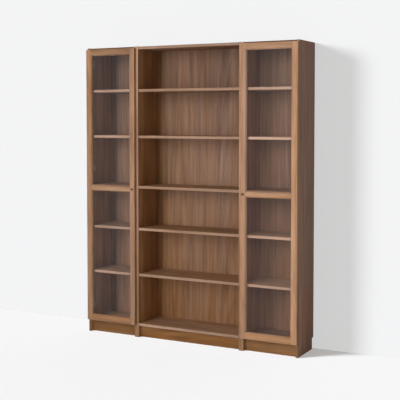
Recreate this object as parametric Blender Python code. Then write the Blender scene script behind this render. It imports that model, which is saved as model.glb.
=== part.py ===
# Bookcase of three joined units: an open one in the middle, and a narrow one
# with a framed glass door at each side. Metres, +Z up, the front faces -Y.
import math

import bmesh
import bpy
from mathutils import Matrix

# Carcasses
SIDE_UNIT_W = 0.400
CENTRE_UNIT_W = 0.800
CARCASS_H = 2.020
CARCASS_D = 0.280
SIDE_T = 0.016
BOARD_T = 0.018
TOP_DROP = 0.002
PLINTH_H = 0.080
PLINTH_T = 0.016
PLINTH_RECESS = 0.026
FIXED_SHELF_Z = 1.040
FIXED_SHELF_RECESS = 0.002
NOTCH_DEPTH = 0.025
NOTCH_H = 0.075
EDGE = 0.0006

# Back panels
BACK_T = 0.003
BACK_SETBACK = 0.007
GROOVE_DEPTH = 0.005
GROOVE_REACH = 0.0045

# Adjustable shelves and their pin holes
SHELF_T = 0.018
SHELF_RECESS = 0.004
SHELF_SIDE_CLEAR = 0.001
SHELF_BACK_CLEAR = 0.004
FIRST_SHELF_RISE = 0.3304
HOLE_PITCH = 0.032
SHELF_STEP_HOLES = 10
HOLES_EACH_WAY = 1
PIN_D = 0.005
PIN_REACH = 0.008
PIN_HOLE_DEPTH = 0.009
FRONT_ROW = 0.037
REAR_ROW = 0.052

# Dowels at the ends of the fixed boards
DOWEL_D = 0.008
DOWEL_REACH = 0.009
DOWEL_INSET = 0.070

# Doors
DOOR_GAP = 0.003
DOOR_T = 0.019
DOOR_EDGE_GAP = 0.002
DOOR_Z = 0.088
DOOR_H = 1.920
STILE_W = 0.0445
RAIL_W = 0.0445
MID_RAIL_W = 0.044
MID_RAIL_Z = 1.0135
FRAME_BEVEL = 0.009
PANE_T = 0.004
PANE_GROOVE = 0.005
PANE_REACH = 0.0045

# Knobs, each held by one screw from the back of the stile
KNOB_D = 0.016
KNOB_REACH = 0.020
KNOB_NECK_D = 0.009
KNOB_INSET = 0.019
SCREW_D = 0.004
SCREW_HEAD_D = 0.0075
SCREW_HEAD_T = 0.0022
SCREW_BITE = 0.010

# Concealed hinges
PIVOT_E = 0.0072
PIVOT_Q = 0.0086
CUP_EDGE = 0.003
CUP_BORE_D = 0.035
CUP_DEPTH = 0.0123
CUP_WALL = 0.0008
FLANGE_D = 0.037
FLANGE_T = 0.001
EAR_SPAN = 0.060
EAR_W = 0.012
EAR_SHIFT = 0.006
PIVOT_PIN_D = 0.0028
CHEEK_W = 0.0038
CHEEK_CLEAR = 0.0006
KNUCKLE_D = 0.0048
KNUCKLE_W = 0.006
FINGER_T = 0.0024
ARM_W = 0.012
ARM_START = 0.012
ARM_END = 0.020
ARM_BACK = 0.062
PLATE_FRONT = 0.025
PLATE_BACK = 0.050
PLATE_H = 0.048
PLATE_CLEAR = 0.010
END_HINGE_INSET = 0.100
MID_HINGE_RISE = 0.110

# Door buffers
BUFFER_D = 0.008
BUFFER_INSET = 0.030

# Room left between pieces that touch or fit into each other
GAP = 0.0003

ROUND_SIDES = 24
HOLE_SIDES = 8
PIN_SIDES = 12

# Places that follow from the sizes above
FRONT_REACH = DOOR_GAP + DOOR_T + GAP + KNOB_REACH
FRONT = -(CARCASS_D - FRONT_REACH) / 2
REAR = FRONT + CARCASS_D
BACK_FACE = REAR - BACK_SETBACK - BACK_T
TOP_Z = CARCASS_H - TOP_DROP
BOTTOM_TOP = PLINTH_H + BOARD_T
FIXED_TOP = FIXED_SHELF_Z + BOARD_T
DOOR_BACK = FRONT - DOOR_GAP
DOOR_FRONT = DOOR_BACK - DOOR_T
DOOR_W = SIDE_UNIT_W - 2 * DOOR_EDGE_GAP
DOOR_TOP = DOOR_Z + DOOR_H
PIVOT_Y = DOOR_BACK - PIVOT_Q
MID_RAIL_TOP = MID_RAIL_Z + MID_RAIL_W

for old in list(bpy.data.objects):
    bpy.data.objects.remove(old, do_unlink=True)


def finish(name, colour, roughness, metallic=0.0, alpha=1.0):
    material = bpy.data.materials.new(name)
    material.use_nodes = True
    shader = material.node_tree.nodes["Principled BSDF"]
    shader.inputs["Base Color"].default_value = (*colour, 1.0)
    shader.inputs["Roughness"].default_value = roughness
    shader.inputs["Metallic"].default_value = metallic
    shader.inputs["Alpha"].default_value = alpha
    return material


WALNUT = finish("walnut_board", (0.235, 0.135, 0.080), 0.45)
WALNUT_FRAME = finish("walnut_frame", (0.290, 0.170, 0.100), 0.45)
WALNUT_BACK = finish("walnut_back", (0.200, 0.115, 0.070), 0.55)
GLASS = finish("clear_glass", (0.800, 0.850, 0.850), 0.05, alpha=0.3)
STEEL = finish("nickel_steel", (0.600, 0.590, 0.570), 0.30, metallic=1.0)
BRONZE = finish("bronze_knob", (0.130, 0.055, 0.025), 0.40, metallic=0.6)
RUBBER = finish("clear_rubber", (0.500, 0.490, 0.470), 0.60)


def to_mesh(bm, name):
    bmesh.ops.recalc_face_normals(bm, faces=bm.faces)
    mesh = bpy.data.meshes.new(name)
    bm.to_mesh(mesh)
    bm.free()
    return mesh


def add_box(bm, low, high):
    # One box between two corners
    size = [b - a for a, b in zip(low, high)]
    middle = [(a + b) / 2 for a, b in zip(low, high)]
    place = Matrix.Translation(middle) @ Matrix.Diagonal((*size, 1.0))
    bmesh.ops.create_cube(bm, size=1.0, matrix=place)


def add_rod(bm, start, length, diameter, axis, sides):
    # One closed cylinder that starts at a point and runs along +X, +Y or +Z
    turn = {"X": Matrix.Rotation(math.pi / 2, 4, "Y"),
            "Y": Matrix.Rotation(-math.pi / 2, 4, "X"),
            "Z": Matrix.Identity(4)}[axis]
    step = turn @ Matrix.Translation((0.0, 0.0, length / 2))
    place = Matrix.Translation(start) @ step
    bmesh.ops.create_cone(bm, cap_ends=True, segments=sides, radius1=diameter / 2,
                          radius2=diameter / 2, depth=length, matrix=place)


def box_mesh(name, low, high):
    bm = bmesh.new()
    add_box(bm, low, high)
    return to_mesh(bm, name)


def rods_mesh(name, starts, length, diameter, axis, sides):
    bm = bmesh.new()
    for start in starts:
        add_rod(bm, start, length, diameter, axis, sides)
    return to_mesh(bm, name)


def turned_mesh(name, profile, sides):
    # A profile of (radius, distance) pairs spun about Y, towards -Y
    bm = bmesh.new()
    rings = []
    for radius, distance in profile:
        ring = []
        for i in range(sides):
            angle = 2 * math.pi * i / sides
            x = radius * math.cos(angle)
            z = radius * math.sin(angle)
            ring.append(bm.verts.new((x, -distance, z)))
        rings.append(ring)
    for first, second in zip(rings, rings[1:]):
        for i in range(sides):
            j = (i + 1) % sides
            bm.faces.new((first[i], first[j], second[j], second[i]))
    bm.faces.new(rings[0])
    bm.faces.new(rings[-1])
    return to_mesh(bm, name)


def put(name, mesh, location=(0.0, 0.0, 0.0), material=None, parent=None):
    thing = bpy.data.objects.new(name, mesh)
    bpy.context.scene.collection.objects.link(thing)
    if parent is not None:
        thing.parent = parent
        location = [a - b for a, b in zip(location, parent.location)]
    thing.location = location
    if material is not None:
        thing.data.materials.append(material)
    return thing


def change(target, mesh, operation):
    # Cuts or joins a hidden shape, given in world coordinates
    tool = put("tool_" + mesh.name, mesh)
    tool.hide_render = True
    tool.display_type = "WIRE"
    step = target.modifiers.new(mesh.name, "BOOLEAN")
    step.operation = operation
    step.solver = "EXACT"
    step.object = tool


def soften(target, width=EDGE):
    step = target.modifiers.new("edges", "BEVEL")
    step.width = width
    step.segments = 1
    step.limit_method = "ANGLE"


def board(name, low, high, material=WALNUT, parent=None, edge=EDGE):
    # A flat board between two world corners, its origin at its middle
    middle = [(a + b) / 2 for a, b in zip(low, high)]
    local_low = [a - m for a, m in zip(low, middle)]
    local_high = [b - m for b, m in zip(high, middle)]
    thing = put(name, box_mesh(name, local_low, local_high), middle, material, parent)
    if edge > 0:
        soften(thing, edge)
    return thing


def shelf_undersides():
    # Two adjustable shelves over the bottom board and two over the fixed shelf
    heights = []
    for base in (BOTTOM_TOP, FIXED_TOP):
        for step in (0, SHELF_STEP_HOLES):
            heights.append(base + FIRST_SHELF_RISE + step * HOLE_PITCH)
    return heights


def board_levels():
    # Middle heights of the fixed boards: bottom, fixed shelf and top
    return (PLINTH_H + BOARD_T / 2, FIXED_SHELF_Z + BOARD_T / 2, TOP_Z - BOARD_T / 2)


def dowel_places(x):
    # Two dowels at each fixed board's end, and one at the plinth's
    rear_end = BACK_FACE - DOWEL_INSET
    places = []
    for z in board_levels():
        places.append((x, FRONT + DOWEL_INSET, z))
        places.append((x, rear_end, z))
    plinth_middle = FRONT + PLINTH_RECESS + PLINTH_T / 2
    places.append((x, plinth_middle, PLINTH_H / 2))
    return places


def side_panel(name, inner_x, towards):
    # towards is +1 where the unit's inside lies at larger X than this panel
    outer_x = inner_x - towards * SIDE_T
    panel = board(name, (min(inner_x, outer_x), FRONT, 0.0),
                  (max(inner_x, outer_x), REAR, CARCASS_H))
    past = 0.01
    notch = box_mesh(name + "_notch", (min(inner_x, outer_x) - past, REAR - NOTCH_DEPTH, -past),
                     (max(inner_x, outer_x) + past, REAR + past, NOTCH_H))
    change(panel, notch, "DIFFERENCE")
    deep = inner_x - towards * GROOVE_DEPTH
    shallow = inner_x + towards * past
    groove = box_mesh(name + "_groove",
                      (min(deep, shallow), BACK_FACE - GAP, PLINTH_H - GAP),
                      (max(deep, shallow), BACK_FACE + BACK_T + GAP, CARCASS_H + past))
    change(panel, groove, "DIFFERENCE")

    def start_for(depth, length):
        # A rod runs along +X, so on a left-hand panel it starts at its deep end
        return inner_x - depth if towards > 0 else inner_x + depth - length

    dowel_depth = DOWEL_REACH + GAP
    dowel_length = dowel_depth + past
    dowels = dowel_places(start_for(dowel_depth, dowel_length))
    change(panel, rods_mesh(name + "_dowel_holes", dowels, dowel_length,
                            DOWEL_D + 2 * GAP, "X", HOLE_SIDES), "DIFFERENCE")
    hole_length = PIN_HOLE_DEPTH + past
    hole_x = start_for(PIN_HOLE_DEPTH, hole_length)
    pin_length = PIN_REACH + PIN_HOLE_DEPTH / 2
    pin_x = start_for(PIN_HOLE_DEPTH / 2, pin_length)
    holes = []
    pins = []
    for underside in shelf_undersides():
        pin_z = underside - GAP - PIN_D / 2
        for y in (FRONT + FRONT_ROW, REAR - REAR_ROW):
            pins.append((pin_x, y, pin_z))
            for step in range(-HOLES_EACH_WAY, HOLES_EACH_WAY + 1):
                if step != 0:
                    holes.append((hole_x, y, pin_z + step * HOLE_PITCH))
    change(panel, rods_mesh(name + "_pin_holes", holes, hole_length, PIN_D, "X", HOLE_SIDES),
           "DIFFERENCE")
    change(panel, rods_mesh(name + "_pins", pins, pin_length, PIN_D, "X", HOLE_SIDES), "UNION")
    return panel


def fixed_board(name, low, high, places):
    # A board between the sides, with its dowels standing out of both ends
    piece = board(name, low, high)
    for end, x in (("left", low[0]), ("right", high[0])):
        root = 0.004
        start = x - DOWEL_REACH if end == "left" else x - root
        starts = [(start, y, z) for y, z in places]
        dowels = rods_mesh(name + "_dowels_" + end, starts, DOWEL_REACH + root,
                           DOWEL_D, "X", HOLE_SIDES)
        change(piece, dowels, "UNION")
    return piece


def unit(name, left, right):
    inner_left = left + SIDE_T
    inner_right = right - SIDE_T
    side_panel(name + "_side_l", inner_left, 1)
    side_panel(name + "_side_r", inner_right, -1)
    x0 = inner_left + GAP
    x1 = inner_right - GAP
    rear = BACK_FACE - GAP
    rows = (FRONT + DOWEL_INSET, BACK_FACE - DOWEL_INSET)
    levels = board_levels()
    fixed_board(name + "_bottom", (x0, FRONT + FIXED_SHELF_RECESS, PLINTH_H),
                (x1, rear, BOTTOM_TOP), [(y, levels[0]) for y in rows])
    fixed_board(name + "_fixed_shelf", (x0, FRONT + FIXED_SHELF_RECESS, FIXED_SHELF_Z),
                (x1, rear, FIXED_TOP), [(y, levels[1]) for y in rows])
    fixed_board(name + "_top", (x0, FRONT, TOP_Z - BOARD_T),
                (x1, rear, TOP_Z), [(y, levels[2]) for y in rows])
    plinth_front = FRONT + PLINTH_RECESS
    fixed_board(name + "_plinth", (x0, plinth_front, 0.0),
                (x1, plinth_front + PLINTH_T, PLINTH_H - GAP),
                [(plinth_front + PLINTH_T / 2, PLINTH_H / 2)])
    for i, z in enumerate(shelf_undersides()):
        board(f"{name}_shelf_{i + 1}",
              (inner_left + SHELF_SIDE_CLEAR, FRONT + SHELF_RECESS, z),
              (inner_right - SHELF_SIDE_CLEAR, BACK_FACE - SHELF_BACK_CLEAR, z + SHELF_T))
    board(name + "_back", (inner_left - GROOVE_REACH, BACK_FACE, PLINTH_H),
          (inner_right + GROOVE_REACH, BACK_FACE + BACK_T, TOP_Z), WALNUT_BACK, edge=0)


def board_spans():
    # Underside and top of every board that a hinge plate has to keep clear of
    spans = [(z - BOARD_T / 2, z + BOARD_T / 2) for z in board_levels()]
    spans += [(z, z + SHELF_T) for z in shelf_undersides()]
    return sorted(spans)


def clear_of_boards(z, upwards):
    # A hinge that would meet a board moves along the side until its plate clears it
    reach = PLATE_H / 2 + PLATE_CLEAR
    spans = board_spans() if upwards else reversed(board_spans())
    for underside, top in spans:
        if underside - reach < z < top + reach:
            z = top + reach if upwards else underside - reach
    return z


def hinge_heights():
    return (clear_of_boards(DOOR_Z + END_HINGE_INSET, True),
            clear_of_boards(FIXED_TOP + MID_HINGE_RISE, True),
            clear_of_boards(DOOR_TOP - END_HINGE_INSET, False))


def mirrored(mesh, name):
    # The same shape for the right-hand door, with its faces turned back outwards
    other = mesh.copy()
    other.name = name
    other.transform(Matrix.Diagonal((-1.0, 1.0, 1.0, 1.0)))
    other.flip_normals()
    return other


def settled(thing, name):
    # The shape after its modifiers, as a mesh that several copies can share
    bpy.context.view_layer.update()
    seen = thing.evaluated_get(bpy.context.evaluated_depsgraph_get())
    mesh = bpy.data.meshes.new_from_object(seen)
    mesh.name = name
    tools = [step.object for step in thing.modifiers if step.type == "BOOLEAN"]
    for old in (thing, *tools):
        bpy.data.objects.remove(old, do_unlink=True)
    return mesh


def cup_mesh():
    # Left-hand cup about the pivot: a flanged pot with two ears and the pivot pin
    centre_x = CUP_EDGE + CUP_BORE_D / 2 - PIVOT_E
    pot_d = CUP_BORE_D - 2 * GAP
    face = PIVOT_Q + GAP
    floor = PIVOT_Q - CUP_DEPTH
    pot = put("cup", rods_mesh("cup", [(centre_x, floor, 0.0)], CUP_DEPTH + GAP + FLANGE_T,
                               pot_d, "Y", ROUND_SIDES), material=STEEL)
    change(pot, rods_mesh("flange", [(centre_x, face, 0.0)], FLANGE_T, FLANGE_D, "Y",
                          ROUND_SIDES), "UNION")
    ears = box_mesh("ears", (centre_x + EAR_SHIFT - EAR_W / 2, face, -EAR_SPAN / 2),
                    (centre_x + EAR_SHIFT + EAR_W / 2, face + FLANGE_T, EAR_SPAN / 2))
    change(pot, ears, "UNION")
    hollow_d = pot_d - 2 * CUP_WALL
    change(pot, rods_mesh("hollow", [(centre_x, floor + CUP_WALL, 0.0)], CUP_DEPTH + 0.01,
                          hollow_d, "Y", ROUND_SIDES), "DIFFERENCE")
    # Two cheeks inside the pot's near wall carry the pin on both sides of the knuckle
    near = -CHEEK_W / 2
    wall_end = math.sqrt((pot_d / 2) ** 2 - (centre_x - near) ** 2) - GAP
    inner_end = KNUCKLE_W / 2 + CHEEK_CLEAR
    for label, z0, z1 in (("low", -wall_end, -inner_end), ("high", inner_end, wall_end)):
        cheek = box_mesh("cheek_" + label, (near, -CHEEK_W / 2, z0),
                         (-near, PIVOT_Q - CHEEK_CLEAR, z1))
        change(pot, cheek, "UNION")
    reach = (inner_end + wall_end) / 2
    change(pot, rods_mesh("pivot_pin", [(0.0, 0.0, -reach)], 2 * reach, PIVOT_PIN_D, "Z",
                          PIN_SIDES), "UNION")
    return settled(pot, "hinge_cup")


def arm_mesh():
    # Left-hand arm about the pivot: knuckle, finger, arm and the plate on the side
    wall_x = SIDE_T - DOOR_EDGE_GAP - PIVOT_E
    front_y = FRONT - PIVOT_Y
    eye = put("arm", rods_mesh("arm", [(0.0, 0.0, -KNUCKLE_W / 2)], KNUCKLE_W, KNUCKLE_D,
                               "Z", PIN_SIDES), material=STEEL)
    finger = box_mesh("finger", (0.0, -FINGER_T / 2, -KNUCKLE_W / 2),
                      (ARM_START + 0.002, FINGER_T / 2, KNUCKLE_W / 2))
    change(eye, finger, "UNION")
    arm = box_mesh("arm_bar", (ARM_START, -FINGER_T / 2, -ARM_W / 2),
                   (ARM_END, front_y + ARM_BACK, ARM_W / 2))
    change(eye, arm, "UNION")
    plate = box_mesh("plate", (wall_x + GAP, front_y + PLATE_FRONT, -PLATE_H / 2),
                     (ARM_START + 0.001, front_y + PLATE_BACK, PLATE_H / 2))
    change(eye, plate, "UNION")
    bore = KNUCKLE_W / 2 + 0.002
    change(eye, rods_mesh("pivot_hole", [(0.0, 0.0, -bore)], 2 * bore,
                          PIVOT_PIN_D + 2 * GAP + 0.0001, "Z", PIN_SIDES), "DIFFERENCE")
    return settled(eye, "hinge_arm")


def pane_openings():
    # Heights of the two panes' openings in a door frame
    return (("lower", DOOR_Z + RAIL_W, MID_RAIL_Z), ("upper", MID_RAIL_TOP, DOOR_TOP - RAIL_W))


def cut_pane_opening(frame, name, x0, x1, z0, z1, parent):
    # A straight opening, its bevelled front edge, and the groove that holds the pane
    past = 0.005
    through = box_mesh(name + "_opening", (x0, DOOR_FRONT - past, z0),
                       (x1, DOOR_BACK + past, z1))
    change(frame, through, "DIFFERENCE")
    flare = box_mesh(name + "_bevel", (x0, DOOR_FRONT - past, z0),
                     (x1, DOOR_FRONT + FRAME_BEVEL, z1))
    spread = FRAME_BEVEL + past
    for vertex in flare.vertices:
        if vertex.co.y < DOOR_FRONT:
            vertex.co.x += spread if vertex.co.x > (x0 + x1) / 2 else -spread
            vertex.co.z += spread if vertex.co.z > (z0 + z1) / 2 else -spread
    change(frame, flare, "DIFFERENCE")
    groove_front = DOOR_FRONT + FRAME_BEVEL
    groove = box_mesh(name + "_pane_groove",
                      (x0 - PANE_GROOVE, groove_front, z0 - PANE_GROOVE),
                      (x1 + PANE_GROOVE, groove_front + PANE_T + 2 * GAP, z1 + PANE_GROOVE))
    change(frame, groove, "DIFFERENCE")
    board(name, (x0 - PANE_REACH, groove_front + GAP, z0 - PANE_REACH),
          (x1 + PANE_REACH, groove_front + GAP + PANE_T, z1 + PANE_REACH), GLASS, parent, edge=0)


def knob_profile():
    # From the door's face outwards: foot, neck, and a domed head
    head = KNOB_D / 2
    neck = KNOB_NECK_D / 2
    profile = [(neck + 0.001, 0.0), (neck, 0.002), (neck, KNOB_REACH * 0.35),
               (head, KNOB_REACH * 0.60), (head, KNOB_REACH * 0.80)]
    dome = 4
    for i in range(1, dome + 1):
        angle = math.pi / 2 * i / (dome + 1)
        profile.append((head * math.cos(angle), KNOB_REACH * (0.80 + 0.20 * math.sin(angle))))
    profile.append((head * 0.12, KNOB_REACH))
    return profile


def door(name, hinge_side, cup, arm):
    # hinge_side is -1 for the door hung at its left edge and +1 at its right
    outer = hinge_side * (CENTRE_UNIT_W / 2 + SIDE_UNIT_W - DOOR_EDGE_GAP)
    free = outer - hinge_side * DOOR_W
    pivot_x = outer - hinge_side * PIVOT_E
    swing = bpy.data.objects.new(name + "_pivot", None)
    bpy.context.scene.collection.objects.link(swing)
    swing.location = (pivot_x, PIVOT_Y, 0.0)
    x0 = min(outer, free)
    x1 = max(outer, free)
    frame = board(name + "_frame", (x0, DOOR_FRONT, DOOR_Z), (x1, DOOR_BACK, DOOR_TOP),
                  WALNUT_FRAME, swing)
    for pane, z0, z1 in pane_openings():
        cut_pane_opening(frame, f"{name}_glass_{pane}", x0 + STILE_W, x1 - STILE_W, z0, z1, swing)

    bore_x = outer - hinge_side * (CUP_EDGE + CUP_BORE_D / 2)
    bore_depth = CUP_DEPTH + GAP
    bores = [(bore_x, DOOR_BACK - bore_depth, z) for z in hinge_heights()]
    change(frame, rods_mesh(name + "_cup_bores", bores, bore_depth + 0.005, CUP_BORE_D, "Y",
                            ROUND_SIDES), "DIFFERENCE")
    levels = ("low", "mid", "high")
    for level, z in zip(levels, hinge_heights()):
        put(f"{name}_hinge_cup_{level}", cup, (pivot_x, PIVOT_Y, z), parent=swing)
        put(f"{name}_hinge_arm_{level}", arm, (pivot_x, PIVOT_Y, z))

    knob_x = free + hinge_side * KNOB_INSET
    knob_z = MID_RAIL_Z + MID_RAIL_W / 2
    hole_d = SCREW_D + 2 * GAP
    hole_start = (knob_x, DOOR_FRONT - 0.005, knob_z)
    change(frame, rods_mesh(name + "_knob_hole", [hole_start], DOOR_T + 0.010, hole_d, "Y",
                            HOLE_SIDES), "DIFFERENCE")
    knob_base = DOOR_FRONT - GAP
    knob = put(name + "_knob", turned_mesh(name + "_knob", knob_profile(), ROUND_SIDES),
               (knob_x, knob_base, knob_z), BRONZE, swing)
    change(knob, rods_mesh(name + "_knob_bore", [(knob_x, knob_base - SCREW_BITE - GAP, knob_z)],
                           SCREW_BITE + 0.005, hole_d, "Y", HOLE_SIDES), "DIFFERENCE")
    head_y = DOOR_BACK + GAP
    tip_y = knob_base - SCREW_BITE
    screw = put(name + "_knob_screw",
                rods_mesh(name + "_knob_screw", [(0.0, 0.0, 0.0)], SCREW_HEAD_T, SCREW_HEAD_D,
                          "Y", PIN_SIDES), (knob_x, head_y, knob_z), STEEL, swing)
    change(screw, rods_mesh(name + "_screw_shank", [(knob_x, tip_y, knob_z)],
                            head_y - tip_y + SCREW_HEAD_T / 2, SCREW_D, "Y", HOLE_SIDES), "UNION")

    buffer_x = free + hinge_side * SIDE_T / 2 - hinge_side * DOOR_EDGE_GAP
    buffer_t = DOOR_GAP - 2 * GAP
    for level, z in (("low", DOOR_Z + BUFFER_INSET), ("high", DOOR_TOP - BUFFER_INSET)):
        mesh = rods_mesh(f"{name}_buffer_{level}", [(0.0, 0.0, 0.0)], buffer_t, BUFFER_D, "Y",
                         PIN_SIDES)
        put(f"{name}_buffer_{level}", mesh, (buffer_x, DOOR_BACK + GAP, z), RUBBER, swing)


def smooth_round_pieces():
    for thing in bpy.data.objects:
        if thing.type == "MESH" and ("knob" in thing.name or "cup" in thing.name):
            thing.data.shade_smooth()
            thing.data.set_sharp_from_angle(angle=math.radians(35))


half_centre = CENTRE_UNIT_W / 2
full_half = half_centre + SIDE_UNIT_W
unit("left_unit", -full_half, -half_centre - GAP / 2)
unit("centre_unit", -half_centre + GAP / 2, half_centre - GAP / 2)
unit("right_unit", half_centre + GAP / 2, full_half)
left_cup = cup_mesh()
left_arm = arm_mesh()
door("left_door", -1, left_cup, left_arm)
door("right_door", 1, mirrored(left_cup, "hinge_cup_right"), mirrored(left_arm, "hinge_arm_right"))
smooth_round_pieces()
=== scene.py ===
# Bookcase of three joined units: open shelves in the middle, a framed glass door at each end.
# Metres, +Z up, the front faces -Y.
import math

import bmesh
import bpy
import numpy as np
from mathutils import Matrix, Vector


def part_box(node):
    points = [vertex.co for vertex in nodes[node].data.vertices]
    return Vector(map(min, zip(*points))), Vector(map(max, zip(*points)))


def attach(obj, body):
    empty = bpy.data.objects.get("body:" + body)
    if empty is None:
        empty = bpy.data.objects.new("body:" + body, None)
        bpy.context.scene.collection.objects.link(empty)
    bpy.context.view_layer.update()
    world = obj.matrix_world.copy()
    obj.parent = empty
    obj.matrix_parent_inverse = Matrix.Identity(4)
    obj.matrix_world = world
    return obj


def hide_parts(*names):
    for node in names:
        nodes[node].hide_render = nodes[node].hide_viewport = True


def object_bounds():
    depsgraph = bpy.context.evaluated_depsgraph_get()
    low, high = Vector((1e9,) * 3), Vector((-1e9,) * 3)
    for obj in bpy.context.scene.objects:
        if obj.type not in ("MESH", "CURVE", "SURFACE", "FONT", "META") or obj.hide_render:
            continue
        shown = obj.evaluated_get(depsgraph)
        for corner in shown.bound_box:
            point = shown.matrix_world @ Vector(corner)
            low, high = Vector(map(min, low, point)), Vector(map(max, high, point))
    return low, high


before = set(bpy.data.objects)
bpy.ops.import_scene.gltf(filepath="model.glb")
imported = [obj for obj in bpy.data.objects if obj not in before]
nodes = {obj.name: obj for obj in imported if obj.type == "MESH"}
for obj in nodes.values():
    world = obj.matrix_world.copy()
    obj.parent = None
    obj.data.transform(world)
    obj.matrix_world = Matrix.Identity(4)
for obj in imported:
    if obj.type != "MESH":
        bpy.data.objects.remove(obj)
cadLow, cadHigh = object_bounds()
rng = np.random.default_rng(11)  # the same draws on each run
axisNumber = "XYZ".index
# Each door and the side of its hinges along X
doors = (("left_door", -1), ("right_door", 1))
hingeLevels = ("low", "mid", "high")
print("frame loaded:", len(nodes), "nodes")


# Adds one shader node. Inputs are given by name or number, as plain values or as sockets to link.
def addNode(tree, kind, inputs=None, **settings):
    made = tree.nodes.new("ShaderNode" + kind)
    made.location = (170 * len(tree.nodes), 0)  # side by side in the node editor
    for key, value in settings.items():
        setattr(made, key, value)
    for key, value in (inputs or {}).items():
        if isinstance(value, bpy.types.NodeSocket):
            tree.links.new(value, made.inputs[key])
        else:
            made.inputs[key].default_value = value
    return made


def calc(tree, operation, *values):
    return addNode(tree, "Math", dict(enumerate(values)), operation=operation).outputs[0]


def vectorCalc(tree, operation, *values):
    return addNode(tree, "VectorMath", dict(enumerate(values)), operation=operation).outputs[0]


def noise(tree, vector, scale, detail=2.0, roughness=0.5):
    values = {"Vector": vector, "Scale": scale, "Detail": detail, "Roughness": roughness}
    return addNode(tree, "TexNoise", values).outputs["Fac"]


def drawnNoise(tree, vector, amounts, detail=2.0, roughness=0.5):
    # Noise with a scale of its own along each axis, so drawn out where the scale is small
    return noise(tree, vectorCalc(tree, "MULTIPLY", vector, amounts), 1.0, detail, roughness)


def remap(tree, value, start, end, first=0.0, last=1.0, kind="LINEAR"):
    # Goes from first to last while the value goes from start to end, and stays level outside
    values = {0: value, 1: start, 2: end, 3: first, 4: last}
    return addNode(tree, "MapRange", values, interpolation_type=kind).outputs[0]


def easedTone(tree, value, start, end, first, last):
    # The same for a tone, with soft ends
    way = remap(tree, value, start, end, kind="SMOOTHSTEP")
    return addNode(tree, "Mix", {0: way, 4: first, 5: last}, data_type="VECTOR").outputs[1]


def ramp(tree, factor, stops):
    made = addNode(tree, "ValToRGB", {"Fac": factor})
    elements = made.color_ramp.elements
    for i, (place, colour) in enumerate(stops):
        element = elements[i] if i < 2 else elements.new(place)
        element.position = place
        element.color = (*colour, 1.0)
    return made.outputs["Color"]


def blendColours(tree, factor, first, second, kind="MIX"):
    values = {0: factor, 6: first, 7: second}
    return addNode(tree, "Mix", values, data_type="RGBA", blend_type=kind).outputs[2]


def newMaterial(name):
    made = bpy.data.materials.new(name)
    made.use_nodes = True
    made.node_tree.nodes.clear()
    place = addNode(made.node_tree, "TexCoord").outputs["Object"]
    return made, made.node_tree, place


def closeMaterial(tree, shader):
    addNode(tree, "OutputMaterial", {"Surface": shader})


# Scales are (across the grain, through the board, along the grain), in turns a metre
walnut = {
    "board": {"dark": (0.225, 0.118, 0.062), "mid": (0.375, 0.210, 0.118), "light": (0.510, 0.306, 0.186),
              "streak": (21.0, 21.0, 1.7), "rise": 0.060},
    "frame": {"dark": (0.260, 0.134, 0.072), "mid": (0.425, 0.238, 0.143), "light": (0.580, 0.344, 0.222),
              "streak": (21.0, 21.0, 1.7), "rise": 0.060},
    "back": {"dark": (0.150, 0.080, 0.046), "mid": (0.255, 0.146, 0.090), "light": (0.350, 0.212, 0.142),
             "streak": (36.0, 36.0, 1.5), "rise": 0.045},
    "darkFrom": 0.37, "midAt": 0.50, "lightFrom": 0.64,
    # Slow wander of the grain, the rings, and the finer layers
    "wander": (7.0, 7.0, 1.1), "wanderReach": 0.034,
    "ringWidth": 0.016, "ringDetail": 3.0, "streakDetail": 4.0, "coarse": 0.62,
    "thread": (420.0, 420.0, 6.0), "threadCoarse": 0.6, "cloud": (5.0, 5.0, 1.4),
    "pore": (1500.0, 1500.0, 55.0), "poreFrom": 0.57, "poreFull": 0.68, "poreInk": 0.45,
    # What each layer counts in the tone of a spot
    "shares": {"rings": 0.20, "streak": 0.44, "thread": 0.16, "cloud": 0.20},
    # Broad bands lean to orange or to grey
    "cast": (17.0, 17.0, 0.5), "castFrom": 0.32, "castTo": 0.68,
    "orange": (1.05, 0.99, 0.86), "grey": (0.95, 1.00, 1.10),
    "gloss": 0.10, "rough": 0.44, "streakRough": 0.16, "poreRough": 0.14,
    "bump": 0.22, "bumpHeight": 0.0004, "poreHeight": -0.7, "threadHeight": 0.5,
    # Where a board may lie in the trunk, in metres, and how much its tone may vary
    "leaf": 0.40, "leafStep": 3.7, "leafCentre": (0.35, 0.65), "boardCentre": (-0.05, 0.05),
    "pithReach": (0.035, 0.075), "trunkReach": (-2.5, 2.5), "toneSpread": (0.96, 1.04),
    # The paler strip on a front edge, partly an edge band and partly painted light where the edge faces the
    # lamps, with painted shade towards the foot of an upright board and painted light towards its head
    "edge": (1.03, 1.14, 1.42), "edgeSeam": 0.0009,
    "stripFootShade": (0.74, 0.65, 0.47), "stripHeadLight": (1.26, 1.25, 1.26), "stripRise": 1.5,
}


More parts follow.
